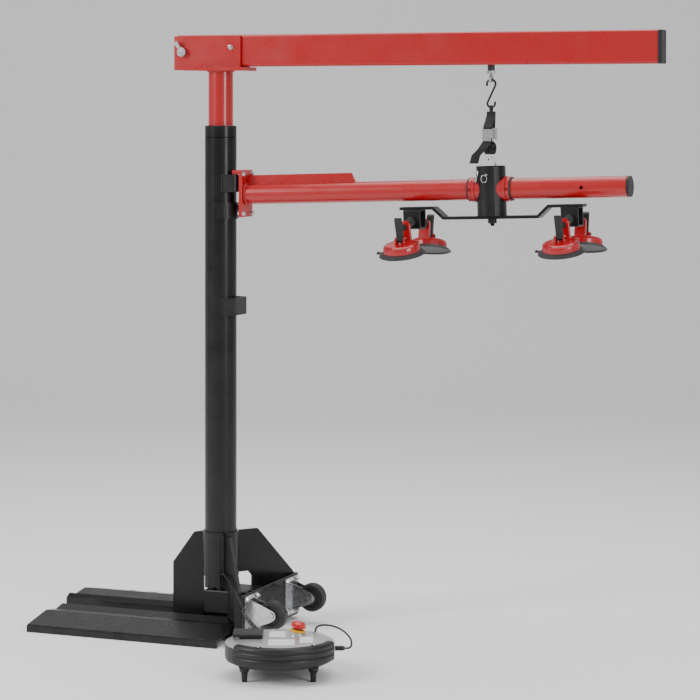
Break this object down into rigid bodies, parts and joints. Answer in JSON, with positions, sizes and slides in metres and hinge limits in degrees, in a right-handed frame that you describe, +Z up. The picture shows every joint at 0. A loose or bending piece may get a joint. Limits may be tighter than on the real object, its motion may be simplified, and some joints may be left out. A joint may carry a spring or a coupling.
{
  "type": "electric panel lift",
  "caption": "Telescopic mast on flat forks with a lifting beam, strap and inclined arm carrying a swivelling suction-cup frame, plus a round floor control unit on a cable.",
  "frame": {"origin": "where the mast's axis meets the floor, on the underside of the floor plate", "axes": "+Z up along the mast, +X along the lifting beam and the arm, away from the forks, +Y across, so that the control unit lies at -Y"},
  "size_m": [1.814, 0.932, 1.672],
  "materials": {
    "black_paint": "semi-gloss black powder coat with a fine texture",
    "red_paint": "glossy red enamel",
    "red_cup": "glossy red moulded body",
    "zinc_steel": "bright zinc or chrome plate",
    "dark_steel": "black-oxide steel",
    "drive_black": "dark cast drive housing, satin",
    "black_plastic": "satin black moulded plastic",
    "grey_plastic": "dark grey moulded plastic",
    "red_plastic": "glossy red plastic",
    "wheel_black": "matt black tread on a hard hub",
    "black_rubber": "matt black rubber",
    "cord_rubber": "thin black cable sheath",
    "webbing": "woven black webbing",
    "silver_top": "brushed silver top plate"
  },
  "bodies": {
    "base": {"fork_near": "black_paint", "fork_far": "black_paint", "floor_plate": "black_paint", "cross_plate": "black_paint", "mast_socket": "black_paint", "mast_tube": "black_paint", "hanger_lower": "black_paint", "hanger_upper": "black_paint", "drive_housing": "drive_black", "actuator_body": "dark_steel", "caster_near": "zinc_steel", "caster_far": "zinc_steel", "arm_hook_plate": "red_paint", "arm_saddle": "black_paint", "arm_tube": "red_paint", "arm_end_cap": "black_plastic", "control_housing": "black_plastic", "control_guard": "black_plastic", "control_top": "silver_top", "control_gland": "black_plastic", "control_cable": "cord_rubber", "short_lead": "cord_rubber", "lead_plug": "black_plastic"},
    "lift": {"inner_tube": "red_paint", "beam_channel": "red_paint", "actuator_rod": "zinc_steel"},
    "beam": {"beam": "red_paint", "beam_end_cap": "black_plastic", "eye_bolt": "zinc_steel"},
    "clamp": {"clamp_lever": "zinc_steel"},
    "strap": {"s_hook": "black_paint", "strap": "webbing", "buckle": "zinc_steel"},
    "carriage": {"set_collar_inner": "red_paint", "set_collar_outer": "red_paint"},
    "hub": {"hub_tube": "black_paint", "hub_bush": "red_paint", "lock_pin": "zinc_steel"},
    "frame": {"spreader_bar": "black_paint", "swivel_bolt": "dark_steel", "cup_mount_a": "black_rubber", "cup_mount_b": "black_rubber", "cup_mount_c": "black_rubber", "cup_mount_d": "black_rubber", "cup_head_a": "red_cup", "cup_head_b": "red_cup", "cup_head_c": "red_cup", "cup_head_d": "red_cup", "cup_pad_a": "black_rubber", "cup_pad_b": "black_rubber", "cup_pad_c": "black_rubber", "cup_pad_d": "black_rubber"},
    "lever_a": {"cup_lever_a": "black_plastic"},
    "lever_b": {"cup_lever_b": "black_plastic"},
    "lever_c": {"cup_lever_c": "black_plastic"},
    "lever_d": {"cup_lever_d": "black_plastic"},
    "wheel_near": {"wheel_near": "wheel_black"},
    "wheel_far": {"wheel_far": "wheel_black"},
    "estop": {"estop_button": "red_plastic"},
    "pedal": {"foot_pedal": "grey_plastic"}
  },
  "joints": [
    {"name": "mast_lift", "type": "slide", "parent": "base", "child": "lift", "axis": [0, 0, 1], "range_m": [0, 1]},
    {"name": "beam_fold", "type": "hinge", "parent": "lift", "child": "beam", "pos_m": [-0.103, 0, 1.624], "axis": [0, -1, 0], "range_deg": [0, 80]},
    {"name": "strap_swing", "type": "hinge", "parent": "beam", "child": "strap", "pos_m": [0.808, 0, 1.53], "axis": [0, -1, 0], "range_deg": [-80, 0]},
    {"name": "clamp_turn", "type": "hinge", "parent": "lift", "child": "clamp", "pos_m": [-0.103, 0, 1.624], "axis": [0, 1, 0], "range_deg": [0, 180]},
    {"name": "hub_slide", "type": "slide", "parent": "base", "child": "carriage", "axis": [0.9995, 0, 0.0314], "range_m": [-0.33, 0.3]},
    {"name": "hub_roll", "type": "hinge", "parent": "carriage", "child": "hub", "pos_m": [0.80864, 0, 1.24551], "axis": [-0.9995, 0, -0.0314], "range_deg": [-10, 90]},
    {"name": "frame_swivel", "type": "hinge", "parent": "hub", "child": "frame", "pos_m": [0.80864, 0, 1.24551], "axis": [-0.0314, 0, 0.9995], "continuous": true},
    {"name": "cup_lever_a_flip", "type": "hinge", "parent": "frame", "child": "lever_a", "pos_m": [0.58783, -0.11224, 1.10854], "axis": [0.9995, 0, 0.0314], "range_deg": [0, 85]},
    {"name": "cup_lever_b_flip", "type": "hinge", "parent": "frame", "child": "lever_b", "pos_m": [1.03761, -0.11224, 1.12268], "axis": [0.9995, 0, 0.0314], "range_deg": [0, 85]},
    {"name": "cup_lever_c_flip", "type": "hinge", "parent": "frame", "child": "lever_c", "pos_m": [0.58783, 0.11224, 1.10854], "axis": [-0.9995, 0, -0.0314], "range_deg": [0, 85]},
    {"name": "cup_lever_d_flip", "type": "hinge", "parent": "frame", "child": "lever_d", "pos_m": [1.03761, 0.11224, 1.12268], "axis": [-0.9995, 0, -0.0314], "range_deg": [0, 85]},
    {"name": "wheel_near_spin", "type": "hinge", "parent": "base", "child": "wheel_near", "pos_m": [0.223, -0.138, 0.073], "axis": [0, 1, 0], "continuous": true},
    {"name": "wheel_far_spin", "type": "hinge", "parent": "base", "child": "wheel_far", "pos_m": [0.223, 0.138, 0.073], "axis": [0, 1, 0], "continuous": true},
    {"name": "estop_press", "type": "slide", "parent": "base", "child": "estop", "axis": [-0.1608, -0.0656, -0.9848], "range_m": [0, 0.004], "stiffness_N_per_m": 400, "springref_m": -0.003},
    {"name": "pedal_press", "type": "hinge", "parent": "base", "child": "pedal", "pos_m": [0.29477, -0.52382, 0.1005], "axis": [-0.3778, 0.9259, 0], "range_deg": [0, 2], "stiffness_Nm_per_rad": 3, "springref_deg": -1.15}
  ],
  "couplings": [
    {"joint": "strap_swing", "follows": "beam_fold", "ratio": -1}
  ]
}
